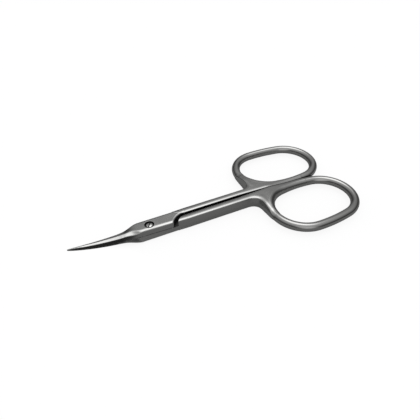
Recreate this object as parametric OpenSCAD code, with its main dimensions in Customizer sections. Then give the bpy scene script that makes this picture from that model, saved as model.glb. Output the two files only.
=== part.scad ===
// Cuticle scissors, closed and lying flat.
// Two forged halves cross at a pivot screw. Each half is one piece of steel: a finger ring,
// a web, a shank, a half-thickness plate at the pivot and a blade that curves up to its tip.
// Pivot frame: X runs from the tips to the rings, Z is the pivot axis, and the plane where the
// halves meet is z = 0. The finished part is moved so that it stands on z = 0 under its own middle.

/* [Overall] */
// Length from the blade tips to the back of the rings
overall_length = 90; // [84:1:100]
// Thickness of the two halves together at the pivot and along the shanks
thickness = 4; // [3.6:0.1:4.8]
// Width of the two shanks together, over their flanks
shank_width = 5.3; // [5:0.1:6]

/* [Blades] */
// Distance from the pivot to the blade tips
blade_reach = 23.5; // [20:0.5:28]
// Height of the tips above the plane where the plates meet
tip_rise = 2.1; // [1:0.1:4]
// Half the width of a blade where it leaves the plate
blade_half_width = 1.65; // [1.4:0.05:1.9]
// Thickness of a blade at its ridge where it leaves the plate
blade_ridge = 1.6; // [1.2:0.05:1.8]
// Thickness of a blade just behind its cutting edge, as a share of its ridge
edge_share = 0.5; // [0.35:0.05:0.6]

/* [Handles] */
// Diameter of the round bar that the rings are made of
bar_d = 2.8; // [2.4:0.1:3.2]
// Length of a ring over its outside
ring_length = 31.4; // [28:0.2:34]
// Centreline radius of a ring's front end
ring_front_r = 9.75; // [9:0.05:10.5]
// Centreline radius of a ring's back end
ring_back_r = 9.4; // [8.8:0.05:10]
// Centreline radius of the side that lies against the other ring
ring_side_r = 40.8; // [34:0.2:50]
// Centreline radius of the outer side, which is nearly straight
ring_outer_r = 50; // [42:1:80]
// Angle by which a ring leans in towards its back
ring_lean = 1.9; // [0:0.1:3]
// Depth of the flat where the two rings touch
ring_flat = 0.35; // [0.2:0.05:0.5]
// Gap between the two shanks behind the pivot
shank_gap = 1; // [0.8:0.05:1.3]
// Radius of the inside corner between shank and ring
web_corner_r = 3; // [2:0.25:4]

/* [Pivot] */
// Diameter of the recess for the screw head
recess_d = 2.8; // [2.5:0.05:2.9]
// Depth of that recess
recess_depth = 0.75; // [0.6:0.05:0.9]
// Diameter of the screw head
head_d = 2.3; // [2.1:0.05:2.4]
// Diameter of the plain shoulder that the upper half turns on
shoulder_d = 1.7; // [1.5:0.05:1.8]
// Diameter of the threaded end, over the thread
thread_d = 1.4; // [1.2:0.05:1.45]
// Width of the screwdriver slot
slot_w = 0.3; // [0.2:0.05:0.4]
// Depth of the screwdriver slot
slot_depth = 0.3; // [0.2:0.05:0.4]

/* [Fits] */
// Radial clearance of the shoulder in the upper half
shoulder_clearance = 0.03; // [0.02:0.01:0.06]
// Radial clearance of the thread in the lower half
thread_clearance = 0.005; // [0.005:0.005:0.01]
// Gap between the faces that slide on each other
sliding_gap = 0.04; // [0.02:0.01:0.06]
// Gap left between the rings and between the shanks where they close
contact_gap = 0.06; // [0.04:0.01:0.1]

/* [Hidden] */
steel = [0.56, 0.56, 0.55];
screw_steel = [0.66, 0.66, 0.65];
eps = 0.01;
over = 1;
seam = 0.02;
seam_in = 0.3;
$fn = 96;

half_t = thickness / 2;
flank = shank_width / 2;
face = sliding_gap / 2;

// eps and over are how far a cut or a joint runs past the surface that it goes through.
// Where one round piece carries on into another it is thinner by seam and starts seam_in inside it.

// Section of the shanks: flat top, sloping edge and a flank with a little belly
edge_w = 0.6;
edge_h = 0.5;
belly = 0.05;
top_edge = flank - edge_w;
edge_z = half_t - edge_h;
inner_edge = 0.5;
wall_y = shank_gap / 2;

// The plate's sides lean out from its top to the mating plane, and draw in towards the blades
plate_start = -2;
plate_lean = 0.2;
plate_edge = 0.55;
plate_edge_h = 0.35;
plate_taper = 0.57;

// The end of the plate is a hollow curve round the nose of the other half's shank,
// and it bites a little way past the shank's inner wall
step_r = 5.2;
step_x = 11.6;
step_gap = 0.95;
step_bite = 0.15;
nose_r = step_r - step_gap;
step_y = wall_y + step_bite - step_r;

// Mating faces of the blades: flat near the pivot, then an arc turned about the pivot axis,
// so that the two faces stay the same distance apart at every opening angle
flat_reach = 6;
arc_r = (pow(blade_reach - flat_reach, 2) + pow(tip_rise, 2)) / (2 * tip_rise);
function rise(r) = r < flat_reach ? 0 : arc_r - sqrt(pow(arc_r, 2) - pow(r - flat_reach, 2));

// Blade stations, from the plate to the tip, a little closer to each other near the tip
stations = 26;
station_power = 1.15;
plate_end = 3;
neck_end = 8;
crown_end = 9.5;
root_reach = 8.5;
width_power = 0.8;
ridge_power = 0.6;
tip_width = 0.12;
tip_ridge = 0.2;
below_face = 0.3;
// Corners of the blade's section from its back to its edge: share of the half width, share of the ridge
back_top = [0.85, 0.87];
ridge_side = 0.14;
edge_side = 0.84;
edge_foot = [0.94, 0.3];

// Ring geometry, in the ring's own frame: front end centre at the origin, back end on +X
bar_r = bar_d / 2;
ring_back_x = overall_length - blade_reach;
front_x = ring_back_x - ring_length + bar_r + ring_front_r;
end_step = (ring_back_x - bar_r - ring_back_r - front_x) / cos(ring_lean);
// Centre of a side arc of radius r that runs smoothly into both ends, as [x, distance from the X axis]
function side_centre(r) =
    let (
        a = r - ring_front_r,
        b = r - ring_back_r,
        x = (pow(a, 2) - pow(b, 2) + pow(end_step, 2)) / (2 * end_step)
    ) [x, sqrt(pow(a, 2) - pow(x, 2))];
side_mid = side_centre(ring_side_r);
side_from = atan2(-side_mid.y, -side_mid.x);
side_to = atan2(-side_mid.y, end_step - side_mid.x);
outer_mid = side_centre(ring_outer_r);
outer_from = atan2(outer_mid.y, end_step - outer_mid.x);
outer_to = atan2(outer_mid.y, -outer_mid.x);
// Height of the front end centre above the scissors' middle line
front_y = ring_side_r + bar_r - ring_flat - (side_mid.y * cos(ring_lean) - side_mid.x * sin(ring_lean));

// Web between shank and ring, and the tail of the shank that runs into the ring
bar_x = front_x - ring_front_r;
web_bar_r = bar_r - 0.1;
arc_lap = 2;
web_edge = 1;
web_face_x = bar_x - web_edge;
web_hole_r = ring_front_r - bar_r + 0.25;
web_bevel = 0.9;
web_low_z = 0.7;
web_fall_y = 5.5;
corner_x = web_face_x - web_corner_r;
corner_sink = 0.1;
corner_y = flank + web_corner_r - corner_sink;
closing_x = front_x - 16.3;
tail_from = front_x - 6.3;
tail_fall_x = front_x - 5.3;
tail_to = front_x + 5.8;
tail_steps = 6;
tail_r = bar_r - 0.15;
tail_edge = tail_r * (2 - sqrt(2));
tail_slope = (half_t - tail_r) / (tail_to - tail_fall_x);

// Screw: depth of its ends below the steel, edge break, radius of the domed head, slot direction
head_sink = 0.08;
screw_edge = 0.12;
dome_r = 4;
slot_turn = 55;

// Shift that puts the finished part over the middle of its own outline
middle_x = (ring_back_x - blade_reach) / 2;

function blend(a, b, t) = let (s = max(0, min(1, t))) a + (b - a) * s * s * (3 - 2 * s);

// Outline of the plate across the scissors at x, as [y, z], with the mating plane at z = 0
function plate_side(x) = flank - plate_taper * (step_x - x) / (step_x - plate_start);
function plate_outline(x) = let (side = plate_side(x)) [
    [-side, 0],
    [-side + plate_lean, half_t - plate_edge_h],
    [-side + plate_lean + plate_edge, half_t],
    [top_edge, half_t],
    [flank, edge_z],
    [side, 0]
];
// Outline of the blade at distance d in front of the pivot, measured from the mating face
function blade_outline(d) =
    let (
        u = max(0, (d - root_reach) / (blade_reach - root_reach)),
        w = tip_width + (blade_half_width - tip_width) * pow(1 - u, width_power),
        b = tip_ridge + (blade_ridge - tip_ridge) * pow(1 - u, ridge_power)
    ) [
        [-w, 0],
        [-w * back_top.x, b * back_top.y],
        [-w * ridge_side, b],
        [w * edge_side, b * edge_share],
        [w * edge_foot.x, b * edge_foot.y],
        [w, 0]
    ];
function front_outline(d) =
    let (
        p = plate_outline(plate_start),
        q = blade_outline(d),
        tw = (d - plate_end) / (neck_end - plate_end),
        th = (d - plate_end) / (crown_end - plate_end)
    ) [for (i = [0:5]) [blend(p[i].x, q[i].x, tw), blend(p[i].y, q[i].y, th)]];

// Skin through a list of closed sections that all have the same number of points
module skin(sections) {
    n = len(sections[0]);
    m = len(sections);
    polyhedron(
        points = [for (s = sections) each s],
        faces = concat(
            [[for (j = [0:n - 1]) j]],
            [for (i = [0:m - 2], j = [0:n - 1])
                let (a = i * n + j, b = i * n + (j + 1) % n)
                    each [[a, a + n, b + n], [a, b + n, b]]],
            [[for (j = [n - 1:-1:0]) (m - 1) * n + j]]
        )
    );
}

// Profile in YZ, drawn out along X from x0 to x1
module along_x(x0, x1) {
    translate([x0, 0, 0]) rotate([90, 0, 90]) linear_extrude(x1 - x0) children();
}

// Profile in XZ, drawn out along Y from y0 to y1
module along_y(y0, y1) {
    translate([0, y1, 0]) rotate([90, 0, 0]) linear_extrude(y1 - y0) children();
}

// Space under the mating face in front of the pivot; sense is 1 for the upper half and
// -1 for the lower half, which is built upside down
module under_mating_face(sense) {
    depth = thickness + tip_rise;
    rotate([0, 0, 90]) rotate_extrude(angle = 180) translate([0, face]) {
        if (sense > 0) difference() {
            translate([0, -depth]) square([blade_reach + over, depth + tip_rise + over]);
            translate([flat_reach, arc_r]) circle(arc_r, $fn = 720);
            square([flat_reach, tip_rise + 2 * over]);
        } else intersection() {
            translate([0, -depth]) square([blade_reach + over, depth]);
            union() {
                translate([flat_reach, -arc_r]) circle(arc_r, $fn = 720);
                translate([0, -depth]) square([flat_reach, depth]);
            }
        }
    }
}

// Front of a half: from the plate through the neck to the curved blade
module blade(sense) {
    span = blade_reach + plate_start;
    difference() {
        skin([for (i = [0:stations]) let (
                d = -plate_start + span * (1 - pow(1 - i / stations, station_power)),
                z = sense * rise(d)
            ) [for (p = front_outline(d)) [-d, p.x, p.y > 0 ? z + p.y : z - below_face]]]);
        under_mating_face(sense);
    }
}

// Half-thickness plate round the pivot, ending in a hollow curve
module plate() {
    difference() {
        skin([for (x = [step_x, plate_start]) [for (p = plate_outline(x)) [x, p.x, max(p.y, face)]]]);
        translate([step_x, step_y, 0]) cylinder(h = thickness, r = step_r, $fn = 180);
        translate([step_x, step_y, half_t - plate_edge])
            cylinder(h = plate_edge * 2, r1 = step_r, r2 = step_r + plate_edge * 2, $fn = 180);
    }
}

// Half of the section of a shank: from the inner side outwards, both faces and the flank
module shank_section(inner) {
    polygon([
        [inner, -half_t], [top_edge, -half_t], [flank, -edge_z], [flank + belly, 0],
        [flank, edge_z], [top_edge, half_t], [inner, half_t]
    ]);
}

// Everything on one side of a shank's inner wall, with the wall's sloping edges
module inner_wall(length) {
    along_x(0, length) polygon([
        [0, -half_t + inner_edge], [inner_edge, -half_t], [2 * flank, -half_t],
        [2 * flank, half_t], [inner_edge, half_t], [0, half_t - inner_edge]
    ]);
}

// Straight part of a shank: its inner wall closes in on the middle line towards the ring
module shank() {
    nose_x = step_x - nose_r;
    closing = atan2(wall_y - contact_gap / 2, tail_from + seam_in - closing_x);
    intersection() {
        along_x(nose_x, tail_from) shank_section(-flank);
        union() {
            translate([nose_x, wall_y, 0]) inner_wall(closing_x - nose_x + eps);
            translate([closing_x, wall_y, 0]) rotate([0, 0, -closing])
                inner_wall(tail_from - closing_x + over);
        }
        union() {
            translate([step_x, -step_y, 0]) rotate_extrude($fn = 180) polygon([
                [0, -half_t], [nose_r - inner_edge, -half_t], [nose_r, -half_t + inner_edge],
                [nose_r, half_t - inner_edge], [nose_r - inner_edge, half_t], [0, half_t]
            ]);
            translate([step_x, 0, -half_t]) cube([tail_from, 2 * flank, thickness]);
        }
    }
}

// Height of the ring's inner bar above the middle line at x
function bar_y(x) = let (
        cx = front_x + side_mid.x * cos(ring_lean) + side_mid.y * sin(ring_lean),
        cy = front_y + side_mid.y * cos(ring_lean) - side_mid.x * sin(ring_lean)
    ) cy - sqrt(pow(ring_side_r, 2) - pow(x - cx, 2));

// The shank's tail falls and narrows from the shank's section to a regular octagon inside the bar
module tail() {
    y0 = contact_gap / 2 + inner_edge - tail_edge;
    start = tail_from - over;
    skin([for (i = [0:tail_steps]) let (
            t = i / tail_steps,
            x = start + (tail_to - start) * t,
            h = half_t - seam - tail_slope * max(0, x - tail_fall_x),
            y1 = blend(flank - seam, bar_y(x) + tail_r, t),
            cut_y = blend(edge_w, tail_edge, t),
            cut_z = blend(edge_h, tail_edge, t)
        ) [
            [x, y0 + tail_edge, -h], [x, y1 - cut_y, -h], [x, y1, -h + cut_z], [x, y1, h - cut_z],
            [x, y1 - cut_y, h], [x, y0 + tail_edge, h], [x, y0, h - tail_edge], [x, y0, -h + tail_edge]
        ]]);
}

// Flat web that fills the corner between the shank and the ring
module web() {
    intersection() {
        difference() {
            translate([0, 0, -half_t]) linear_extrude(thickness) difference() {
                polygon([
                    [corner_x, wall_y + inner_edge], [front_x, wall_y + inner_edge],
                    [front_x, front_y], [web_face_x, front_y], [web_face_x, corner_y], [corner_x, corner_y]
                ]);
                translate([front_x, front_y]) circle(web_hole_r, $fn = 180);
                translate([corner_x, corner_y]) circle(web_corner_r);
            }
            for (m = [0, 1]) mirror([0, 0, m]) {
                translate([front_x, front_y, web_low_z]) cylinder(
                    h = half_t - web_low_z + eps, r1 = web_hole_r, r2 = web_hole_r + web_bevel, $fn = 180);
                translate([corner_x, corner_y, half_t - edge_h])
                    cylinder(h = edge_h + eps, r1 = web_corner_r, r2 = web_corner_r + edge_w);
                translate([web_face_x, corner_y, half_t - edge_h]) rotate([0, -atan2(edge_h, edge_w), 0])
                    translate([-over, 0, 0]) cube([3 * over, front_y, over]);
            }
        }
        along_x(corner_x, front_x) polygon([
            [0, -half_t], [web_fall_y, -half_t], [front_y, -web_low_z],
            [front_y, web_low_z], [web_fall_y, half_t], [0, half_t]
        ]);
        along_y(0, front_y) polygon([
            [corner_x, -half_t], [tail_fall_x, -half_t], [tail_to, -tail_r],
            [tail_to, tail_r], [tail_fall_x, half_t], [corner_x, half_t]
        ]);
    }
}

module bar_arc(r, from, to, section_r) {
    rotate([0, 0, from]) rotate_extrude(angle = to - from, $fn = 96)
        translate([r, 0]) circle(section_r, $fn = 36);
}

// Finger ring: two end arcs at full thickness, with the two side arcs between them. The front
// end is thinner where it lies in the web, and a straight bar runs from it down to the shank.
module ring() {
    bar_foot = front_y + seam_in - flank + edge_w;
    side_turn = seam_in / ring_side_r * 180 / PI;
    outer_turn = seam_in / ring_outer_r * 180 / PI;
    translate([front_x, front_y, 0]) rotate([0, 0, -ring_lean]) {
        bar_arc(ring_front_r, outer_to, 180 + ring_lean, bar_r);
        bar_arc(ring_front_r, 180 + ring_lean - arc_lap, 360 + side_from + arc_lap, web_bar_r);
        translate([side_mid.x, side_mid.y, 0])
            bar_arc(ring_side_r, side_from - side_turn, side_to + side_turn, bar_r - seam);
        translate([end_step, 0, 0]) bar_arc(ring_back_r, side_to, outer_from, bar_r);
        translate([outer_mid.x, -outer_mid.y, 0])
            bar_arc(ring_outer_r, outer_from - outer_turn, outer_to + outer_turn, bar_r - seam);
    }
    translate([bar_x, front_y + seam_in - bar_foot, 0]) rotate([-90, 0, 0])
        cylinder(h = bar_foot, r = bar_r - seam, $fn = 36);
}

// One half without its pivot holes, built as the upper one
module half_blank(sense) {
    blade(sense);
    plate();
    shank();
    difference() {
        union() {
            web();
            tail();
            ring();
        }
        translate([tail_from - 2 * over, -flank + contact_gap / 2, -thickness])
            cube([overall_length, flank, 2 * thickness]);
    }
}

module upper_half() {
    color(steel) difference() {
        half_blank(1);
        cylinder(h = thickness, d = shoulder_d + 2 * shoulder_clearance);
        translate([0, 0, half_t - recess_depth]) cylinder(h = thickness, d = recess_d);
    }
}

module lower_half() {
    color(steel) rotate([180, 0, 0]) difference() {
        half_blank(-1);
        cylinder(h = thickness, d = thread_d + 2 * thread_clearance);
    }
}

// Screw: both ends stay a little below the steel round them, and the head is domed
module pivot_screw() {
    seat_z = half_t - recess_depth + sliding_gap;
    head_z = half_t - head_sink;
    foot_z = head_sink - half_t;
    color(screw_steel) difference() {
        rotate_extrude() intersection() {
            polygon([
                [0, foot_z], [thread_d / 2 - screw_edge, foot_z], [thread_d / 2, foot_z + screw_edge],
                [thread_d / 2, -face], [shoulder_d / 2, -face], [shoulder_d / 2, seat_z],
                [head_d / 2, seat_z], [head_d / 2, head_z], [0, head_z]
            ]);
            translate([0, head_z - dome_r]) circle(dome_r, $fn = 360);
        }
        translate([0, 0, head_z]) rotate([0, 0, slot_turn])
            cube([head_d + over, slot_w, 2 * slot_depth], center = true);
    }
}

translate([-middle_x, 0, half_t]) {
    upper_half();
    lower_half();
    pivot_screw();
}
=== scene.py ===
# %% [markdown]
# Cuticle scissors, closed and lying flat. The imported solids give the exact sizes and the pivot.
# Here each half is made again as one smooth forging, because the real halves are drop forged
# and then ground: no facet ends in a hard line, and the ring grows out of the shank in one sweep.
# Plain solids can't show that, so each half is written as a distance field, in which two shapes
# can be melted together with a chosen radius, and the field is then turned into a mesh.

# %% load the frame
import math

import bpy
import numpy as np
from mathutils import Matrix, Vector


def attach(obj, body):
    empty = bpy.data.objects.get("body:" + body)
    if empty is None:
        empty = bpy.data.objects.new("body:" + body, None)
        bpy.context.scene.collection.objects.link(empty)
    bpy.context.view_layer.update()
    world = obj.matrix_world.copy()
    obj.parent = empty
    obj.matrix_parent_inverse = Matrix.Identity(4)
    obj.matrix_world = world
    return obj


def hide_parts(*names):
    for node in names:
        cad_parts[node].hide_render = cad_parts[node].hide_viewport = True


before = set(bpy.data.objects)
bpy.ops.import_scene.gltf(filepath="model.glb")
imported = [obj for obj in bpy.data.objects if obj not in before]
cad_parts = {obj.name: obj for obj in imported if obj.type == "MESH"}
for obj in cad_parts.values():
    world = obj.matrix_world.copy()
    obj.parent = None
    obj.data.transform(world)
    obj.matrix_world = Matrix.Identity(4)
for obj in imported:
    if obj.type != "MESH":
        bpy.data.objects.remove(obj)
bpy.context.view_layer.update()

scene = bpy.context.scene
scene.view_settings.view_transform = "Standard"
print("nodes:", sorted(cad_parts))

# %% [markdown]
# The photograph was taken from the left and above, from about 12 cm away. The angles, the
# distance and the lens were found by fitting the two rings and the shanks to the picture. They
# could be set by eye as well, but so near to the object a small error in them bends the whole
# outline, so they were fitted.

# %% camera
MM = 0.001
PIVOT_X = -21.5 * MM
MID_Z = 2.0 * MM
TILT, TURN, ROLL = (math.radians(a) for a in (40.640, 26.006, 0.334))
AIM_X, AIM_Y = 19.694 * MM, -0.059 * MM
DISTANCE = 121.50 * MM
LENS, SENSOR = 33.465, 36

turn = Matrix.Rotation(-TURN, 3, "Z")
right = turn @ Vector((1, 0, 0))
up = turn @ Vector((0, math.sin(TILT), math.cos(TILT)))
back = right.cross(up)
cam_right = math.cos(ROLL) * right - math.sin(ROLL) * up
cam_up = math.sin(ROLL) * right + math.cos(ROLL) * up
place = Vector((PIVOT_X + AIM_X, AIM_Y, MID_Z)) + DISTANCE * back
axes = Matrix((cam_right, cam_up, back)).transposed()
camera = bpy.data.objects.new("camera", bpy.data.cameras.new("camera"))
scene.collection.objects.link(camera)
scene.camera = camera
camera.data.lens = LENS
camera.data.sensor_width = SENSOR
camera.data.clip_start, camera.data.clip_end = 0.005, 10
camera.matrix_world = Matrix.Translation(place) @ axes.to_4x4()
print("camera at", [round(c, 4) for c in camera.matrix_world.translation])

# %% [markdown]
# A distance field is a number at every point of space: how far it is to the surface, and
# negative inside. `melt` joins two fields and fills the corner between them, and `trim` keeps
# what is inside both and rounds the edge. The last argument is the size of that rounding in mm.
# Booleans and a bevel modifier could do this too, but they fail where one edge runs out into
# a face, and these halves are full of such edges.

# %% joining and trimming fields
def melt(a, b, k):
    h = np.maximum(k - np.abs(a - b), 0) / k
    return np.minimum(a, b) - h * h * k * 0.25


def trim(a, b, k):
    return -melt(-a, -b, k)


print("where both surfaces meet, a melt of 1 mm adds", -melt(0.0, 0.0, 1.0), "mm")

# %% changing smoothly from one value to another
def smooth(t):
    t = np.clip(t, 0, 1)
    return t * t * (3 - 2 * t)


def fade(x, start, over):
    """0 up to start, 1 from start + over on, and smooth between them."""
    return smooth((x - start) / over)


def mix(a, b, t):
    return a + (b - a) * t


print("fade from 3 over 4 at 3, 5 and 7:", [float(fade(x, 3, 4)) for x in (3, 5, 7)])

# %% [markdown]
# The field is sampled on a grid of boxes, finer at the pivot and the blades than at the rings.
# Every box that the surface passes through gets one point, at the mean of the places where
# its edges cross the surface, and neighbouring points are joined into quads. Last, each point
# slides along the field's slope onto the surface. A voxel remesh would be shorter to write, but
# its boxes all have one size, and the fine edges of the blades would need millions of them.

# %% grid lines
def steps(*stops):
    """Grid lines through (place, spacing) stops; the spacing holds from its place to the next."""
    lines = []
    for (a, step), (b, _) in zip(stops, stops[1:]):
        n = max(1, round((b - a) / step))
        lines += [a + (b - a) * i / n for i in range(n)]
    return np.array(lines + [stops[-1][0]], np.float32)


print("lines from 0 by 0.5 and from 1 by 0.25:", steps((0, 0.5), (1, 0.25), (1.5, 1)))

# %% reading a field between its grid lines
CORNERS = [(i, j, k) for i in (0, 1) for j in (0, 1) for k in (0, 1)]


def sample(field, axes, points):
    """The field's value at the points, and its slope there, straight between grid lines."""
    cell, part, size = [], [], []
    for axis, line in enumerate(axes):
        i = np.clip(np.searchsorted(line, points[:, axis]) - 1, 0, len(line) - 2)
        width = line[i + 1] - line[i]
        cell.append(i)
        part.append((points[:, axis] - line[i]) / width)
        size.append(width)
    value = np.zeros(len(points))
    slope = np.zeros((len(points), 3))
    for c in CORNERS:
        v = field[cell[0] + c[0], cell[1] + c[1], cell[2] + c[2]]
        w = [p if s else 1 - p for s, p in zip(c, part)]
        value += v * w[0] * w[1] * w[2]
        for axis in range(3):
            others = [w[a] for a in range(3) if a != axis]
            slope[:, axis] += v * (1 if c[axis] else -1) / size[axis] * others[0] * others[1]
    return value, slope


BALL_AXES = (steps((-1.5, 0.1), (1.5, 1)),) * 3
ball = np.sqrt(sum(a * a for a in np.meshgrid(*BALL_AXES, indexing="ij"))) - 1
value, slope = sample(ball, BALL_AXES, np.array([[1.2, 0, 0]]))
print("1.2 mm from the middle of a 1 mm ball: value", value.round(2), "slope", slope.round(2))

# %% one point in every box that the surface passes through
EDGES = [(a, b) for a in range(8) for b in range(a + 1, 8)
         if sum(abs(p - q) for p, q in zip(CORNERS[a], CORNERS[b])) == 1]


def box_points(field, axes):
    """The boxes, the mean crossing in each, and each box's lowest and highest corner."""
    inside = field < 0
    n = [len(a) - 1 for a in axes]
    count = sum(inside[i:i + n[0], j:j + n[1], k:k + n[2]].astype(np.int8) for i, j, k in CORNERS)
    cells = np.argwhere((count > 0) & (count < 8))
    values = np.stack([field[cells[:, 0] + i, cells[:, 1] + j, cells[:, 2] + k]
                       for i, j, k in CORNERS])
    total, hits = np.zeros((len(cells), 3)), np.zeros(len(cells))
    for a, b in EDGES:
        crossed = (values[a] < 0) != (values[b] < 0)
        t = np.where(crossed, values[a] / np.where(crossed, values[a] - values[b], 1), 0)
        corner_a, corner_b = np.array(CORNERS[a]), np.array(CORNERS[b])
        total += crossed[:, None] * (corner_a + t[:, None] * (corner_b - corner_a))
        hits += crossed
    low = np.stack([axes[a][cells[:, a]] for a in range(3)], 1)
    high = np.stack([axes[a][cells[:, a] + 1] for a in range(3)], 1)
    return cells, mix(low, high, total / hits[:, None]), low, high


print("the ball's surface passes through", len(box_points(ball, BALL_AXES)[0]), "boxes")

# %% quads between the points
def joining_quads(field, axes, cells):
    """One quad round every grid line that the surface crosses, facing outwards."""
    inside = field < 0
    n = [len(a) - 1 for a in axes]
    number = np.full(n, -1, np.int64)
    number[tuple(cells.T)] = np.arange(len(cells))
    quads = []
    for axis in range(3):
        u, v = [a for a in range(3) if a != axis]
        ahead, behind = [slice(None)] * 3, [slice(None)] * 3
        ahead[axis], behind[axis] = slice(1, None), slice(None, -1)
        starts = np.argwhere(inside[tuple(behind)] != inside[tuple(ahead)])
        starts = starts[(starts[:, u] > 0) & (starts[:, v] > 0)
                        & (starts[:, u] < n[u]) & (starts[:, v] < n[v])]
        du, dv = np.eye(3, dtype=int)[u], np.eye(3, dtype=int)[v]
        corners = [starts - du - dv, starts - dv, starts, starts - du]
        quad = np.stack([number[tuple(c.T)] for c in corners], 1)
        flip = inside[tuple(starts.T)] == (axis == 1)
        quad[flip] = quad[flip][:, ::-1]
        quads.append(quad)
    return np.concatenate(quads)


cells = box_points(ball, BALL_AXES)[0]
print("and", len(joining_quads(ball, BALL_AXES, cells)), "quads join their points")

# %% the whole surface
SLIDES, SLIDE_SHARE, LEAST_SLOPE = 2, 0.8, 0.05


def surface(field, axes):
    """The points and quads of the field's surface, with the points slid onto it."""
    cells, points, low, high = box_points(field, axes)
    for _ in range(SLIDES):
        value, slope = sample(field, axes, points)
        push = value / np.maximum((slope ** 2).sum(1), LEAST_SLOPE)
        points = np.clip(points - SLIDE_SHARE * push[:, None] * slope, low, high)
    return points, joining_quads(field, axes, cells)


points, quads = surface(ball, BALL_AXES)
print("mean radius of its points:", round(float(np.linalg.norm(points, axis=1).mean()), 4), "mm")

# %% [markdown]
# The shading normal is taken from the field too, and not from the quads, so that a flat stays
# flat and an edge stays clean however the quads fall. The same readings tell how sharply the
# surface bends outwards, which the steel uses later for its worn edges and their painted highlight.

# %% normals and sharpness
def shading(field, axes, points, reach):
    """Normals, and how sharply the surface bends outwards, from the field a short way off."""
    centre = sample(field, axes, points)[0]
    normal, bend = np.zeros_like(points), np.zeros(len(points))
    for axis in range(3):
        shift = np.zeros(3)
        shift[axis] = reach
        ahead = sample(field, axes, points + shift)[0]
        behind = sample(field, axes, points - shift)[0]
        normal[:, axis] = ahead - behind
        bend += ahead + behind - 2 * centre
    normal /= np.maximum(np.linalg.norm(normal, axis=1, keepdims=True), 1e-9)
    return normal, np.clip(bend / reach, 0, 1)


print("mean sharpness of the ball:", round(shading(ball, BALL_AXES, points, 0.1)[1].mean(), 3))

# %% from points to an object
def make_object(name, points, quads, normal, bend, painted_shade):
    """Points in pivot millimetres become a smooth-shaded object in the frame's metres."""
    mesh = bpy.data.meshes.new(name)
    placed = points * MM + np.array([PIVOT_X, 0, MID_Z])
    mesh.vertices.add(len(placed))
    mesh.vertices.foreach_set("co", placed.astype(np.float32).ravel())
    mesh.loops.add(quads.size)
    mesh.loops.foreach_set("vertex_index", quads.astype(np.int32).ravel())
    mesh.polygons.add(len(quads))
    mesh.polygons.foreach_set("loop_start", np.arange(0, quads.size, 4, dtype=np.int32))
    mesh.polygons.foreach_set("use_smooth", np.ones(len(quads), bool))
    mesh.update(calc_edges=True)
    mesh.validate()
    mesh.normals_split_custom_set_from_vertices(normal.tolist())
    # stored for the steel: sharp edges, worn and painted brighter as a highlight, and where shade
    # is painted
    for key, values in (("wear_and_sheen", bend), ("painted_shade", painted_shade)):
        layer = mesh.attributes.new(key, "FLOAT", "POINT")
        layer.data.foreach_set("value", values.astype(np.float32))
    obj = bpy.data.objects.new(name, mesh)
    scene.collection.objects.link(obj)
    a, b, c, d = points[quads.T]
    volume = (np.cross(c - a, d - b) * (a + b + c + d)).sum() / 24
    print(name, len(points), "points,", len(quads), "quads,", round(volume, 1), "mm3")
    return obj


# %% [markdown]
# These are the sizes of one half in the pivot's own frame, in mm: X towards the rings, Z up the
# screw, the mating plane at z = 0. They are the exact solids' sizes, but for a few that follow
# the light and the outline in the photograph: the gap of the S-shaped step is 0.15 mm wider,
# the plate's back edge is cut flatter, the neck has a hollow, the last 3 mm of the blade have a
# steeper back, the shank's nose tapers with the plate and the screw's head is a little smaller.

# %% sizes of a half
REACH, RISE, FLAT_REACH = 23.5, 2.1, 6.0     # tip from the pivot, its rise, where the rise starts
HALF_T, FLANK, WALL = 2.0, 2.65, 0.5         # half thickness, outer and inner side of a shank
FACE, CONTACT = 0.02, 0.03                   # half gaps at the mating faces and at the rings
STEP_X, STEP_R, STEP_GAP = 11.6, 5.2, 1.1    # the S-shaped step: its end, radius and gap
STEP_Y = WALL + 0.15 - STEP_R
LENGTH, BAR_R = 90, 1.4
print("the shanks stand", 2 * WALL, "mm apart and are", FLANK - WALL, "mm wide")

# %% [markdown]
# A finger ring is an oval of four arcs that run smoothly into each other: a tight one at each
# end and a wide one along each side. The centres of the side arcs follow from the radii, so
# only the radii, the length and the lean were measured.

# %% arcs of a ring
RING_LEN, R1, R2, RS, RO = 31.4, 9.75, 9.4, 40.8, 50.0   # front, rear, inner and outer side
LEAN = math.radians(1.9)
SHANK_SINK = 0.35                            # how far the inner side runs into the shank
BACK_X = LENGTH - REACH
FRONT_X = BACK_X - RING_LEN + BAR_R + R1
END_STEP = (BACK_X - BAR_R - R2 - FRONT_X) / math.cos(LEAN)


def side_centre(r):
    """Centre of a side arc of radius r that runs smoothly into both end arcs."""
    a, b = r - R1, r - R2
    x = (a * a - b * b + END_STEP ** 2) / (2 * END_STEP)
    return x, math.sqrt(a * a - x * x)


SIDE_X, SIDE_Y = side_centre(RS)
OUTER_X, OUTER_Y = side_centre(RO)
FRONT_Y = RS + BAR_R - SHANK_SINK - (SIDE_Y * math.cos(LEAN) - SIDE_X * math.sin(LEAN))
BAR_X = FRONT_X - R1
print("front end centre of a ring", round(FRONT_X, 2), round(FRONT_Y, 2))

# %% [markdown]
# The blades curve up. The faces that slide on each other have to stay together at every
# opening angle, so both follow one height over the distance from the pivot: flat near it, and
# an arc from there to the tip. A curve along X would part the blades as soon as they open.

# %% height of the mating face
ARC = ((REACH - FLAT_REACH) ** 2 + RISE ** 2) / (2 * RISE)


def rise(r):
    drop = np.sqrt(np.maximum(ARC ** 2 - (r - FLAT_REACH) ** 2, 1))
    return np.where(r < FLAT_REACH, 0, ARC - drop)


def mating_height(x, y, sense):
    """The mating face's height: upwards in the upper half's frame, downwards in the lower's."""
    return sense * rise(np.where(x < 0, np.hypot(x, y), 0))


print("the arc has a radius of", round(ARC, 1), "mm, the tip rises", round(float(rise(REACH)), 2))

# %% [markdown]
# Plate and blade share one section across the scissors, with six corners that move as it goes
# from the pivot to the tip: up the back of the blade, over the top, and down to the cutting
# edge. Lofting a few drawn sections would do as well, but a formula keeps the long edges
# straight and true.

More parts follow.
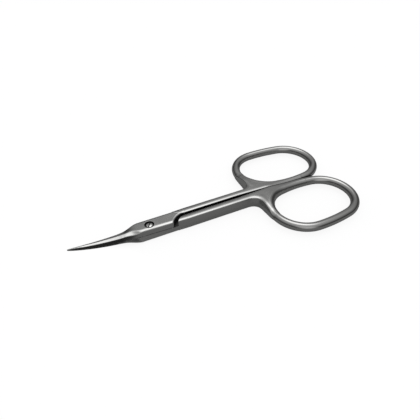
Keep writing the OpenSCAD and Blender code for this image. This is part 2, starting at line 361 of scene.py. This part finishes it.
# %% sizes of plate and blade
PLATE_TAPER, PLATE_FRONT = 0.57, -2          # each side comes in by this much up to this x
BACK_LEAN, BACK_Z, BACK_BEVEL = 0.1, 1.78, 0.65
CUT_BEVEL, CUT_Z = 0.6, 1.5
BLADE_START = 8.5                            # from here on, back from the pivot to the tip
TIP_W, BLADE_W, W_POWER = 0.12, 1.53, 0.8    # half width at the tip, and what the root adds
TIP_H, BLADE_H, H_POWER = 0.2, 1.4, 0.6      # height at the tip, and what the root adds
TIP = (19, 3)                                # the tip's section fades in from 19 mm over 3 mm
# The blade's corners as shares of half width and height, before the tip and at it
BLADE_CORNERS = (((-1, 0), (-1, 0)), ((-0.85, 0.87), (-0.6, 0.95)), ((-0.14, 1), (-0.3, 1)),
                 ((0.84, 0.5), (0.84, 0.5)), ((0.94, 0.3), (0.94, 0.3)), ((1, 0), (1, 0)))
print("the blade is", 2 * (TIP_W + BLADE_W), "mm wide at its root and", 2 * TIP_W, "at the tip")

# %% sections of plate and blade
def plate_side(x):
    return FLANK - PLATE_TAPER * np.clip((STEP_X - x) / (STEP_X - PLATE_FRONT), 0, 1)


def plate_section(x):
    side, one = plate_side(x), np.ones_like(x)
    return [(-side, 0 * one), (-side + BACK_LEAN, BACK_Z * one), (-side + BACK_BEVEL, HALF_T * one),
            ((FLANK - CUT_BEVEL) * one, HALF_T * one), (FLANK * one, CUT_Z * one), (side, 0 * one)]


def blade_section(d):
    u = np.clip((d - BLADE_START) / (REACH - BLADE_START), 0, 1)
    w = TIP_W + BLADE_W * (1 - u) ** W_POWER
    h = TIP_H + BLADE_H * (1 - u) ** H_POWER
    tip = fade(d, *TIP)
    return [(w * mix(y0, y1, tip), h * mix(z0, z1, tip)) for (y0, z0), (y1, z1) in BLADE_CORNERS]


print("plate half width at the screw:", round(float(plate_side(0)), 2), "mm")

# %% [markdown]
# Between them lies the neck. Its width and its height change over to the blade's at their own
# pace, the ridge of the back a little sooner, and the corner under that ridge is hollowed, as a
# narrow grinding wheel leaves it. In the light this is the kink between plate and blade.

# %% the neck
NECK_WIDTH, NECK_HEIGHT, NECK_RIDGE = (3, 5), (3, 6.5), (2.6, 3.4)    # (start, over)
HOLLOW, HOLLOW_IN, HOLLOW_OUT = 0.3, (2.8, 1.8), (5, 2.8)
RIDGE, UNDER_RIDGE = 2, 1                    # places in the list of corners


def front_section(x):
    d = -x
    widths = [fade(d, *NECK_WIDTH)] * 6
    widths[RIDGE] = fade(d, *NECK_RIDGE)
    height = fade(d, *NECK_HEIGHT)
    corners = [(mix(p[0], q[0], t), mix(p[1], q[1], height))
               for p, q, t in zip(plate_section(x), blade_section(d), widths)]
    hollow = HOLLOW * fade(d, *HOLLOW_IN) * (1 - fade(d, *HOLLOW_OUT))
    corners[UNDER_RIDGE] = (corners[UNDER_RIDGE][0], corners[UNDER_RIDGE][1] - hollow)
    return corners


for x in (0.0, -6.0, -12.0, -20.0):
    shape = front_section(np.array([x]))
    print("section at", x, [(round(float(y[0]), 2), round(float(z[0]), 2)) for y, z in shape])

# %% [markdown]
# Each side of the section is a plane, and the planes are trimmed against each other with a
# radius that gets finer towards the tip. The end of the plate is hollowed by one arc of the
# S-shaped step, and the mating face closes the body from below.

# %% plate, neck and blade as a field
SOFT_AT, SOFT_R = [-11, 3, 9, 18, 23.5], [0.2, 0.2, 0.12, 0.08, 0.05]
STEP_SOFT, END_SOFT, TIP_SOFT, MATING_SOFT = 0.7, 0.05, 0.1, 0.04


def front(X, Y, Z, sense):
    """Plate, neck and blade of the upper (sense 1) or lower (sense -1) half."""
    x = X[:, 0, 0]
    corners = front_section(x)
    lift = (sense * rise(-x))[:, None, None]
    soft = np.interp(-x, SOFT_AT, SOFT_R)[:, None, None]
    body = None
    for (ya, za), (yb, zb) in zip(corners, corners[1:]):
        length = np.hypot(yb - ya, zb - za)
        ny, nz = -(zb - za) / length, (yb - ya) / length
        away = ((Y - ya[:, None, None]) * ny[:, None, None]
                + (Z - lift - za[:, None, None]) * nz[:, None, None])
        body = away if body is None else trim(body, away, soft)
    body = trim(body, STEP_R - np.hypot(X - STEP_X, Y - STEP_Y), STEP_SOFT)
    body = trim(body, X - STEP_X, END_SOFT)
    body = trim(body, -REACH - X, TIP_SOFT)
    return trim(body, mating_height(X, Y, sense) + FACE - Z, MATING_SOFT)


spot = [np.full((1, 1, 1), c) for c in (0.0, 0.0, 1.0)]
print("1 mm over the screw's mating plane it is", round(-float(front(*spot, 1).item()), 2), "deep")

# %% [markdown]
# Shank and web are one flat body. Seen from above it is bounded by the inner wall, by the
# outer wall with its generous corner up to the ring, and by the finger hole. Both faces get
# thinner towards the ring, so that the flat fades into the round bar. It could be cut from a
# plate with booleans, but then the fade would need a patch of its own.

# %% sizes of shank and web
CLOSING = [30, 41]                           # between these x the inner walls draw together
DRAFT, DRAFT_IN, DRAFT_HALF = 0.1, (8, 8), 1.5   # the forged belly of the outer wall
ARM_R, ARM_BACK = 3.6, 1                     # the outer wall's corner up to the ring
HOLE_R = 8.6                                 # the web's edge round the finger hole
WEB_END, THIN, THIN_IN = 54, 1.3, (40, 14)   # the web gets thinner as it runs out
SLOPE, SLOPE_Y, SLOPE_SOFT, SLOPE_OFF = 0.115, 7, 1.2, 0.1   # its faces sink to the ring
STEEP, STEEP_Y = 0.25, 9.5
BEVEL, BEVEL_NORM = 0.3, 1.044               # slope of the flat's borders, length of (1, slope)
INNER_BEVEL, OUTER_BEVEL = 0.5, 0.58         # their widths
HOLE_SLOPE, HOLE_BEVEL, HOLE_NORM = 1.4, 1.1, 1.72
INNER_SOFT, OUTER_SOFT, BEVEL_SOFT, HOLE_SOFT, NOSE_SOFT, RUN_OUT = 0.2, 0.5, 0.12, 0.6, 0.1, 0.3


def bar_y(x):
    """Height over the shank of the ring's inner side arc."""
    cx = FRONT_X + SIDE_X * math.cos(LEAN) + SIDE_Y * math.sin(LEAN)
    cy = FRONT_Y + SIDE_Y * math.cos(LEAN) - SIDE_X * math.sin(LEAN)
    return cy - np.sqrt(RS ** 2 - np.clip(x - cx, -20, 20) ** 2)


print("the ring's inner side lies", round(float(bar_y(FRONT_X)), 2), "mm out at its front")

# %% shank and web as a field
def flat(X, Y, Z):
    """The flat body from the shank's nose to the end of the web."""
    inner = np.interp(X, CLOSING, [WALL, CONTACT]) - Y
    draft = DRAFT * fade(X, *DRAFT_IN) * (1 - np.abs(Z) / DRAFT_HALF)
    outer = melt(Y - plate_side(X) - draft, BAR_X - ARM_BACK - X, ARM_R)
    hole = np.where(X < FRONT_X, HOLE_R - np.hypot(X - FRONT_X, Y - FRONT_Y),
                    Y - FRONT_Y + HOLE_R + bar_y(FRONT_X) - bar_y(X))
    height = HALF_T - THIN * fade(X, *THIN_IN)
    height = (height - SLOPE * (np.hypot(Y - SLOPE_Y, SLOPE_SOFT) + Y - SLOPE_Y - SLOPE_OFF)
              - STEEP * np.maximum(Y - STEEP_Y, 0))
    top = np.abs(Z) - height
    body = trim(top, inner, INNER_SOFT)
    body = trim(body, (top + BEVEL * (inner + INNER_BEVEL)) / BEVEL_NORM, BEVEL_SOFT)
    body = trim(body, outer, OUTER_SOFT)
    body = trim(body, (top + BEVEL * (outer + OUTER_BEVEL)) / BEVEL_NORM, BEVEL_SOFT)
    body = trim(body, hole, HOLE_SOFT)
    body = trim(body, (top + hole * HOLE_SLOPE + HOLE_BEVEL) / HOLE_NORM, HOLE_SOFT)
    nose = np.hypot(np.minimum(X - STEP_X, 0), Y + STEP_Y)
    nose = nose - (STEP_R - STEP_GAP) - np.maximum(X - STEP_X, 0)
    body = trim(body, nose, NOSE_SOFT)
    return trim(body, X - WEB_END, RUN_OUT)


spot = [np.full((1, 1, 1), c) for c in (20.0, 1.5, 1.0)]
print("1 mm over the middle of a shank it is", round(-float(flat(*spot).item()), 2), "mm deep")

# %% [markdown]
# The ring is a round bar bent along the four arcs. The distance to the nearest stretch of that
# line, less the bar's radius, is its field. The front of the ring also runs on straight down to
# the shank. A curve with a round bevel would give the same bar, but it can't melt into the web.

# %% ring
ARM_FROM, ARM_SOFT = 3.5, 0.5                # the straight run starts at this y


def ring(X, Y, Z):
    x, y = X[:, :, 0] - FRONT_X, Y[:, :, 0] - FRONT_Y
    c, s = math.cos(LEAN), math.sin(LEAN)
    x, y = x * c - y * s, x * s + y * c
    side_from, side_to = math.atan2(-SIDE_Y, -SIDE_X), math.atan2(-SIDE_Y, END_STEP - SIDE_X)
    outer_from, outer_to = math.atan2(OUTER_Y, END_STEP - OUTER_X), math.atan2(OUTER_Y, -OUTER_X)
    near = np.full(x.shape, 1e3)
    for cx, cy, r, start, end in (
            (0, 0, R1, outer_to, side_from + 2 * math.pi),
            (SIDE_X, SIDE_Y, RS, side_from, side_to),
            (END_STEP, 0, R2, side_to, outer_from),
            (OUTER_X, -OUTER_Y, RO, outer_from, outer_to)):
        angle = np.arctan2(y - cy, x - cx)
        angle = start + np.mod(angle - start, 2 * math.pi)
        away = np.abs(np.hypot(x - cx, y - cy) - r)
        near = np.where(angle <= end, np.minimum(near, away), near)
    arm = np.hypot(X[:, :, 0] - BAR_X, Y[:, :, 0] - np.clip(Y[:, :, 0], ARM_FROM, FRONT_Y))
    return np.hypot(melt(near, arm, ARM_SOFT)[:, :, None], Z) - BAR_R


print("the finger hole is", round(RING_LEN - 4 * BAR_R, 1), "mm long between the bars")

# %% [markdown]
# The three parts are melted together where they meet, and then the holes of the pivot are
# cut. The lower half is the same shape turned over, but its blade curves the other way in its
# own frame, and its hole is the threaded one.

# %% one half
XS = steps((-24.2, 0.1), (-2, 0.06), (2, 0.1), (12.5, 0.2), (32, 0.14), (67, 1))
YS = steps((-3, 0.1), (-1.8, 0.06), (1.8, 0.1), (3.4, 0.14), (22.8, 1))
ZS = steps((-2.6, 0.1), (-2.1, 0.07), (-1.4, 0.1), (1.2, 0.07), (2.5, 1))
FRONT_TO_X, FRONT_TO_Y, FLAT_FROM, RING_FROM = 12.5, 3.4, 6, 33   # where each part is worked out
FAR_OFF = 5.0
JOIN_SOFT, RING_JOIN, CONTACT_SOFT = 0.12, 0.9, 0.12
BORE_R, RECESS_R, SEAT_Z, THREAD_HOLE_R = 0.88, 1.4, 1.25, 0.705
BORE_SOFT, RECESS_SOFT = 0.04, 0.06


def half_field(sense):
    """The upper (sense 1) or lower (sense -1) half, each in its own frame."""
    X, Y, Z = np.meshgrid(XS, YS, ZS, indexing="ij", sparse=True)
    field = np.full((len(XS), len(YS), len(ZS)), FAR_OFF, np.float32)
    fore, narrow = XS <= FRONT_TO_X, YS < FRONT_TO_Y
    field[np.ix_(fore, narrow)] = front(X[fore], Y[:, narrow], Z, sense)
    rear = XS > FLAT_FROM
    field[rear] = melt(field[rear], flat(X[rear], Y, Z), JOIN_SOFT)
    rear = XS > RING_FROM
    loop = ring(X[rear] + 0 * Y, Y + 0 * X[rear], Z)
    field[rear] = trim(melt(field[rear], loop, RING_JOIN), CONTACT - Y, CONTACT_SOFT)
    rho = np.hypot(X, Y)
    if sense > 0:
        field = trim(field, BORE_R - rho, BORE_SOFT)
        return trim(field, np.minimum(RECESS_R - rho, Z - SEAT_Z), RECESS_SOFT)
    return trim(field, THREAD_HOLE_R - rho, BORE_SOFT)


AXES = (XS, YS, ZS)
fields = {sense: half_field(sense) for sense in (1, -1)}
print("grid:", [len(a) for a in AXES], "- deepest inside:", round(float(fields[1].min()), 2), "mm")

# %% [markdown]
# Where the halves face each other closely, shade is painted into the steel's colour: it is made
# dark there. A step of 0.8 mm off the surface that ends near the other half finds these places.
# The faces that slide on each other are left out: they are ground bright. Along their sharp edges
# a thin line of painted shade runs between the halves. The floor of the step and the recess of
# the screw get painted shade too.

# %% where shade is painted
TURNED = np.array([1, -1, -1])               # from one half's frame to the other's
PROBE, CLOSE, CLOSE_FADE = 0.8, 0.6, 0.3     # the step off the surface, and how near is near
FACING_DOWN, ALL_BUT_DOWN = -0.6, -0.85      # a normal's z on mating faces and on their edges
LINE_H, LINE_TO_X = 0.1, 6.0                 # the line of painted shade along the edge of the mating faces
STEP_FLOOR_FROM, SHADED_RECESS_R = 6.2, 1.46


def painted_shade_mask(points, normal, above, sense):
    """1 where shade is painted into the steel's colour, and 0 elsewhere."""
    x, facing = points[:, 0], normal[:, 2]
    probe = (points + PROBE * normal) * TURNED
    # painted shade where the other half stands close in front of the surface
    close = smooth((CLOSE - sample(fields[-sense], AXES, probe)[0]) / CLOSE_FADE)
    close = close * (probe[:, 1] > YS[0]) * (facing > FACING_DOWN)
    # more painted shade: a line along the mating edges, the step's floor and the screw's recess
    line = (above < LINE_H) & (facing > ALL_BUT_DOWN) & (x < LINE_TO_X)
    step_floor = ((np.abs(points[:, 2]) < LINE_H) & (x > STEP_FLOOR_FROM) & (x < STEP_X)
                  & (facing < FACING_DOWN))
    recess = (np.hypot(x, points[:, 1]) < SHADED_RECESS_R) & (sense > 0)
    return np.maximum(close, line | step_floor | recess)


print("oil within", CLOSE - CLOSE_FADE, "mm of the other half, fading out to", CLOSE, "mm")

# %% [markdown]
# Now each half is meshed, and the lower one is turned over into its place. The edges that the
# buffing wheel has rounded are worn, and their colour is made brighter there as a painted
# highlight. Both stay off the mating edges and the tip, or the scissors wouldn't cut.

# %% both halves
EDGE_REACH = 0.07                            # how far off the field is read for normals
UNBUFFED, UNBUFFED_TIP = (0.15, 0.2), (18, 3)    # (start, over): over the mating face, to the tip
halves = {}
for name, sense in (("upper_half_forged", 1), ("lower_half_forged", -1)):
    points, quads = surface(fields[sense], AXES)
    normal, bend = shading(fields[sense], AXES, points, EDGE_REACH)
    above = points[:, 2] - mating_height(points[:, 0], points[:, 1], sense)
    # where shade is painted on this half
    painted_shade = painted_shade_mask(points, normal, above, sense)
    # the painted highlight of worn edges is kept off the mating edges and the tip
    bend = bend * np.where(points[:, 0] < STEP_X, fade(above, *UNBUFFED), 1)
    bend = bend * (1 - fade(-points[:, 0], *UNBUFFED_TIP))
    if sense < 0:
        points, normal = points * TURNED, normal * TURNED
    halves[name] = make_object(name, points, quads, normal, bend, painted_shade)

# %% [markdown]
# The screw is turned and then slotted. Its domed head stands a hair below the plate's face, and
# under it come the plain shoulder that the upper half turns on and the threaded end, which is
# left plain because nobody sees it. A lathe profile with a spin would do, but the slot's soft
# edges come for free from the same fields as before.

# %% screw
HEAD_R, HEAD_TOP, DOME, HEAD_SEAT, HEAD_SOFT = 1.02, 1.92, 0.16, 1.29, 0.12
SHOULDER_R, SHOULDER_TOP, THREAD_R, THREAD_TOP, THREAD_END = 0.85, 1.5, 0.7, 0.5, -1.9
SLOT_ANGLE, SLOT_HALF, SLOT_FLOOR, SLOT_SOFT = math.radians(55), 0.15, 1.62, 0.06
TURNED_SOFT, SEAT_SOFT = 0.02, 0.05


def screw_field(X, Y, Z):
    rho = np.hypot(X, Y)
    head = trim(rho - HEAD_R, Z - HEAD_TOP + DOME * rho ** 2, HEAD_SOFT)
    head = trim(head, HEAD_SEAT - Z, SEAT_SOFT)
    shoulder = trim(trim(rho - SHOULDER_R, Z - SHOULDER_TOP, TURNED_SOFT), -FACE - Z, TURNED_SOFT)
    thread = trim(trim(rho - THREAD_R, Z - THREAD_TOP, TURNED_SOFT), THREAD_END - Z, HEAD_SOFT)
    body = np.minimum(np.minimum(head, shoulder), thread)
    c, s = math.cos(SLOT_ANGLE), math.sin(SLOT_ANGLE)
    slot = np.maximum(np.abs(Y * c - X * s) - SLOT_HALF, SLOT_FLOOR - Z)
    return trim(body, -slot, SLOT_SOFT)


ACROSS, ALONG = steps((-1.3, 0.04), (1.3, 1)), steps((-2.1, 0.05), (1.2, 0.03), (2.1, 1))
SCREW_AXES = (ACROSS, ACROSS, ALONG)
SCREW_REACH, UNSHADED_R, UNSHADED_Z = 0.03, 0.95, 1.66     # outside and under these the screw gets painted shade
field = screw_field(*np.meshgrid(*SCREW_AXES, indexing="ij"))
points, quads = surface(field, SCREW_AXES)
normal, bend = shading(field, SCREW_AXES, points, SCREW_REACH)
# painted shade: the screw is darkened in the recess ring round its head and under it
painted_shade = 1.0 * ((np.hypot(points[:, 0], points[:, 1]) > UNSHADED_R) | (points[:, 2] < UNSHADED_Z))
screw = make_object("pivot_screw_turned", points, quads, normal, bend, painted_shade)

# %% [markdown]
# Materials are built from a few kinds of node, and these helpers add one each. An input may be
# another node's output, which is linked, or a number or colour, which is set on the socket.

# %% node helpers
def feed(tree, socket, value):
    if hasattr(value, "node"):
        tree.links.new(value, socket)
    else:
        socket.default_value = value


def math_node(tree, operation, *inputs):
    node = tree.nodes.new("ShaderNodeMath")
    node.operation = operation
    for socket, value in zip(node.inputs, inputs):
        feed(tree, socket, value)
    return node.outputs[0]


def ramp(tree, value, low, high, start, end):
    """start up to low, end from high on, and smooth between them."""
    node = tree.nodes.new("ShaderNodeMapRange")
    node.interpolation_type = "SMOOTHSTEP"
    for key, number in (("From Min", low), ("From Max", high), ("To Min", start), ("To Max", end)):
        node.inputs[key].default_value = number
    tree.links.new(value, node.inputs["Value"])
    return node.outputs["Result"]


def blend(tree, kind, factor, a, b):
    """a where the factor is 0 and b where it is 1; kind is RGBA or FLOAT."""
    node = tree.nodes.new("ShaderNodeMix")
    node.data_type = kind
    first, out = (6, 2) if kind == "RGBA" else (2, 0)
    for socket, value in ((0, factor), (first, a), (first + 1, b)):
        feed(tree, node.inputs[socket], value)
    return node.outputs[out]


print("helpers:", [f.__name__ for f in (feed, math_node, ramp, blend)])

# %% noise and painted values
NOISE_DETAIL = 3


def noise(tree, vector, scale):
    """Noise with scale waves per metre along X, Y and Z."""
    stretch = tree.nodes.new("ShaderNodeMapping")
    stretch.inputs["Scale"].default_value = scale
    tree.links.new(vector, stretch.inputs["Vector"])
    node = tree.nodes.new("ShaderNodeTexNoise")
    node.inputs["Scale"].default_value = 1
    node.inputs["Detail"].default_value = NOISE_DETAIL
    tree.links.new(stretch.outputs["Vector"], node.inputs["Vector"])
    return node.outputs["Fac"]


def painted(tree, name):
    """The value that make_object stored at each point under this name."""
    node = tree.nodes.new("ShaderNodeAttribute")
    node.attribute_name = name
    return node.outputs["Fac"]


print("stored on each piece:", [a.name for a in screw.data.attributes if a.name in ("wear_and_sheen", "painted_shade")])

# %% [markdown]
# Steel, ground and then polished. The grinding lines are a noise drawn out along the scissors,
# and they bend the reflections a little; a wider noise makes the polish uneven. The rings are
# buffed smoother than the flats. Where the surface bends sharply, hands and the buffing wheel
# have worn it smoother, and its colour is a painted highlight there; where shade is painted, it
# is dark and dull. Anisotropy could stand in for the lines, but then they would be gone close up.

# %% steel
LINES, CLOUD = (420, 5200, 5200), (260, 260, 260)
SHEEN_SHARPNESS = (0.05, 0.5)                           # sharpness at which an edge starts to be worn and painted brighter
RING_X = (0.012, 0.024)                      # m: the buffing of the rings starts here
DULL, PLAIN, WORN_SHEEN, SHADED = 0.93, 1.05, 1.25, 0.12   # shares of the colour; the third paints a highlight on worn edges, the last paints shade
CLOUD_RANGE, FLAT_SPREAD, RING_SPREAD = (0.3, 0.7), 0.15, 0.2
SHADED_ROUGH, LINE_DEPTH = 0.4, 0.000004


def steel(name, colour, rough, ring_rough, grind):
    mat = bpy.data.materials.new(name)
    mat.use_nodes = True
    tree = mat.node_tree
    shader = tree.nodes["Principled BSDF"]
    shader.inputs["Metallic"].default_value = 1
    place = tree.nodes.new("ShaderNodeTexCoord").outputs["Object"]
    lines, cloud = noise(tree, place, LINES), noise(tree, place, CLOUD)
    split = tree.nodes.new("ShaderNodeSeparateXYZ")
    tree.links.new(place, split.inputs[0])
    on_ring = ramp(tree, split.outputs["X"], *RING_X, 0, 1)
    edge_sheen, shade_paint = ramp(tree, painted(tree, "wear_and_sheen"), *SHEEN_SHARPNESS, 0, 1), painted(tree, "painted_shade")

    dull, plain, worn_sheen, shaded = ([min(1, c * share) for c in colour] + [1]
                                 for share in (DULL, PLAIN, WORN_SHEEN, SHADED))
    tone = blend(tree, "RGBA", lines, dull, plain)
    # worn edges: partly wear, partly a painted highlight in a brighter colour
    tone = blend(tree, "RGBA", edge_sheen, tone, worn_sheen)
    # painted shade: the colour is made dark where it is stored
    tree.links.new(blend(tree, "RGBA", shade_paint, tone, shaded), shader.inputs["Base Color"])

    gloss, ring_gloss = (
        ramp(tree, cloud, *CLOUD_RANGE, middle * (1 - spread), middle * (1 + spread))
        for middle, spread in ((rough, FLAT_SPREAD), (ring_rough, RING_SPREAD)))
    gloss = blend(tree, "FLOAT", on_ring, gloss, ring_gloss)
    gloss = blend(tree, "FLOAT", edge_sheen, gloss, ring_rough)
    tree.links.new(blend(tree, "FLOAT", shade_paint, gloss, SHADED_ROUGH), shader.inputs["Roughness"])

    bump = tree.nodes.new("ShaderNodeBump")
    bump.inputs["Strength"].default_value = grind
    bump.inputs["Distance"].default_value = LINE_DEPTH
    tree.links.new(lines, bump.inputs["Height"])
    tree.links.new(bump.outputs["Normal"], shader.inputs["Normal"])
    print(name, "has", len(tree.nodes), "nodes")
    return mat


half_steel = steel("ground_steel", (0.56, 0.56, 0.55), 0.2, 0.1, 0.5)
screw_steel = steel("turned_steel", (0.66, 0.66, 0.65), 0.18, 0.18, 0.3)

# %% [markdown]
# Each piece rides on the body that carries it and stands for the exact solid of the same place,
# which stays hidden. The screw is threaded into the lower half, so it rides with that half, and
# the upper half turns on it. Parenting by hand would move the pieces too, but then the joint's
# own numbers would have to be copied here.

# %% what each piece rides on and stands for
for obj, body, node, mat, slot in (
        (halves["upper_half_forged"], "upper", "upper_half", half_steel, "steel"),
        (halves["lower_half_forged"], "lower", "lower_half", half_steel, "steel"),
        (screw, "lower", "pivot_screw", screw_steel, "screw_steel")):
    obj.data.materials.append(mat)
    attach(obj, body)
    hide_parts(node)
    print(obj.name, "rides on", body, "and stands for", node)

# %% [markdown]
# The floor is white to the camera and keeps the soft shadow of the scissors. Steel shows what
# is round it, and in the photograph it shows a floor of middle grey, so the floor's own colour
# is a grey, and light is added to what the camera sees of it until it is white. Before the
# blades lies a darker patch of it that only the steel shows: it gives the blades their
# near-black side. Dark cards beside the scissors would do the same, but they cast shadows.

# %% floor
FLOOR_SIDE, FLOOR_Z = 1.5, -0.05 * MM        # just under the scissors, so that none goes through
FLOOR_GREY, PATCH_DARKER = 0.135, -0.12
PATCH_AT, PATCH_SIZE = (-0.041, -0.014, 0), (0.014, 0.015, 1)
PATCH_OUT, PATCH_IN = 1.25, 0.95             # its soft border, in shares of its size
SEEN_WHITE, MIRROR_SHARE = 1.02, 0.6
square = [(x, y, FLOOR_Z) for x, y in ((-FLOOR_SIDE, -FLOOR_SIDE), (FLOOR_SIDE, -FLOOR_SIDE),
                                       (FLOOR_SIDE, FLOOR_SIDE), (-FLOOR_SIDE, FLOOR_SIDE))]
mesh = bpy.data.meshes.new("floor")
mesh.from_pydata(square, [], [(0, 1, 2, 3)])
floor = bpy.data.objects.new("floor", mesh)
scene.collection.objects.link(floor)
mat = bpy.data.materials.new("floor")
mat.use_nodes = True
mesh.materials.append(mat)
print("floor", 2 * FLOOR_SIDE, "m wide,", FLOOR_Z / MM, "mm high")

# %% grey of the floor and its dark patch
tree = mat.node_tree
shader = tree.nodes["Principled BSDF"]
shader.inputs["Roughness"].default_value = 0.9
shader.inputs["Specular IOR Level"].default_value = 0
shader.inputs["Emission Color"].default_value = (1, 1, 1, 1)
oval = tree.nodes.new("ShaderNodeMapping")
oval.vector_type = "TEXTURE"
oval.inputs["Location"].default_value = PATCH_AT
oval.inputs["Scale"].default_value = PATCH_SIZE
tree.links.new(tree.nodes.new("ShaderNodeTexCoord").outputs["Object"], oval.inputs["Vector"])
length = tree.nodes.new("ShaderNodeVectorMath")
length.operation = "LENGTH"
tree.links.new(oval.outputs["Vector"], length.inputs[0])
dark = ramp(tree, length.outputs["Value"], PATCH_OUT, PATCH_IN, 0, 1)
grey = math_node(tree, "MULTIPLY_ADD", dark, PATCH_DARKER, FLOOR_GREY)
combine = tree.nodes.new("ShaderNodeCombineXYZ")
for socket in combine.inputs:
    tree.links.new(grey, socket)
tree.links.new(combine.outputs[0], shader.inputs["Base Color"])
print("floor grey", FLOOR_GREY, "and in the patch", round(FLOOR_GREY + PATCH_DARKER, 3))

# %% what the camera and the steel see of the floor
path = tree.nodes.new("ShaderNodeLightPath")
to_white = math_node(tree, "SUBTRACT", SEEN_WHITE, grey)
camera_part = math_node(tree, "MULTIPLY", path.outputs["Is Camera Ray"], to_white)
mirror = math_node(tree, "MAXIMUM", path.outputs["Is Glossy Ray"],
                   path.outputs["Is Transmission Ray"])
mirror_part = math_node(tree, "MULTIPLY", mirror, math_node(tree, "MULTIPLY", grey, MIRROR_SHARE))
tree.links.new(math_node(tree, "ADD", camera_part, mirror_part), shader.inputs["Emission Strength"])
print("floor material has", len(tree.nodes), "nodes")

# %% [markdown]
# The studio is the world itself: white to the camera, an even light to everything dull, and to
# the steel a grey sky, brighter overhead, with five soft glows. The strongest is the big soft
# light above, which draws the white stripes on edges and rings; the others were read from the
# rings' and the blades' smaller highlights. Area lamps would do as well, but their hard edges
# show in polished steel, and a glow has none.

# %% the sky
SKY = (0.2, 1, 0.06, 0.5)                    # heights of the direction, and the light there
world = bpy.data.worlds.new("studio")
scene.world = world
world.use_nodes = True
tree = world.node_tree
backdrop = tree.nodes["Background"]
backdrop.inputs["Color"].default_value = (1, 1, 1, 1)
direction = tree.nodes.new("ShaderNodeTexCoord").outputs["Generated"]
split = tree.nodes.new("ShaderNodeSeparateXYZ")
tree.links.new(direction, split.inputs[0])
light = ramp(tree, split.outputs["Z"], *SKY)
print("sky from", SKY[2], "at the horizon to", SKY[3], "overhead")

# %% the glows
def glow(towards, inner, outer, strength):
    """A soft round light in the sky: full within the inner angle, nothing beyond the outer."""
    dot = tree.nodes.new("ShaderNodeVectorMath")
    dot.operation = "DOT_PRODUCT"
    dot.inputs[1].default_value = Vector(towards).normalized()
    tree.links.new(direction, dot.inputs[0])
    far, near = (math.cos(math.radians(angle)) for angle in (outer, inner))
    return ramp(tree, dot.outputs["Value"], far, near, 0, strength)


GLOWS = (
    ((0.17, 0.20, 0.97), 6, 26, 1.05),       # the big soft light overhead
    ((0.33, 0.42, 0.85), 4, 20, 0.45),       # beside it, towards the rings
    ((0.63, 0.75, 0.21), 4, 28, 0.16),       # low behind the rings
    ((-0.24, -0.83, 0.50), 8, 34, 0.30),     # behind the camera
    ((-0.09, -0.99, 0.09), 10, 36, 0.17))    # low in front
for lamp in GLOWS:
    light = math_node(tree, "ADD", light, glow(*lamp))
path = tree.nodes.new("ShaderNodeLightPath")
plain = math_node(tree, "MAXIMUM", path.outputs["Is Camera Ray"], path.outputs["Is Diffuse Ray"])
tree.links.new(blend(tree, "FLOAT", plain, light, 1), backdrop.inputs["Strength"])
print(len(GLOWS), "glows, the strongest", max(g[3] for g in GLOWS))
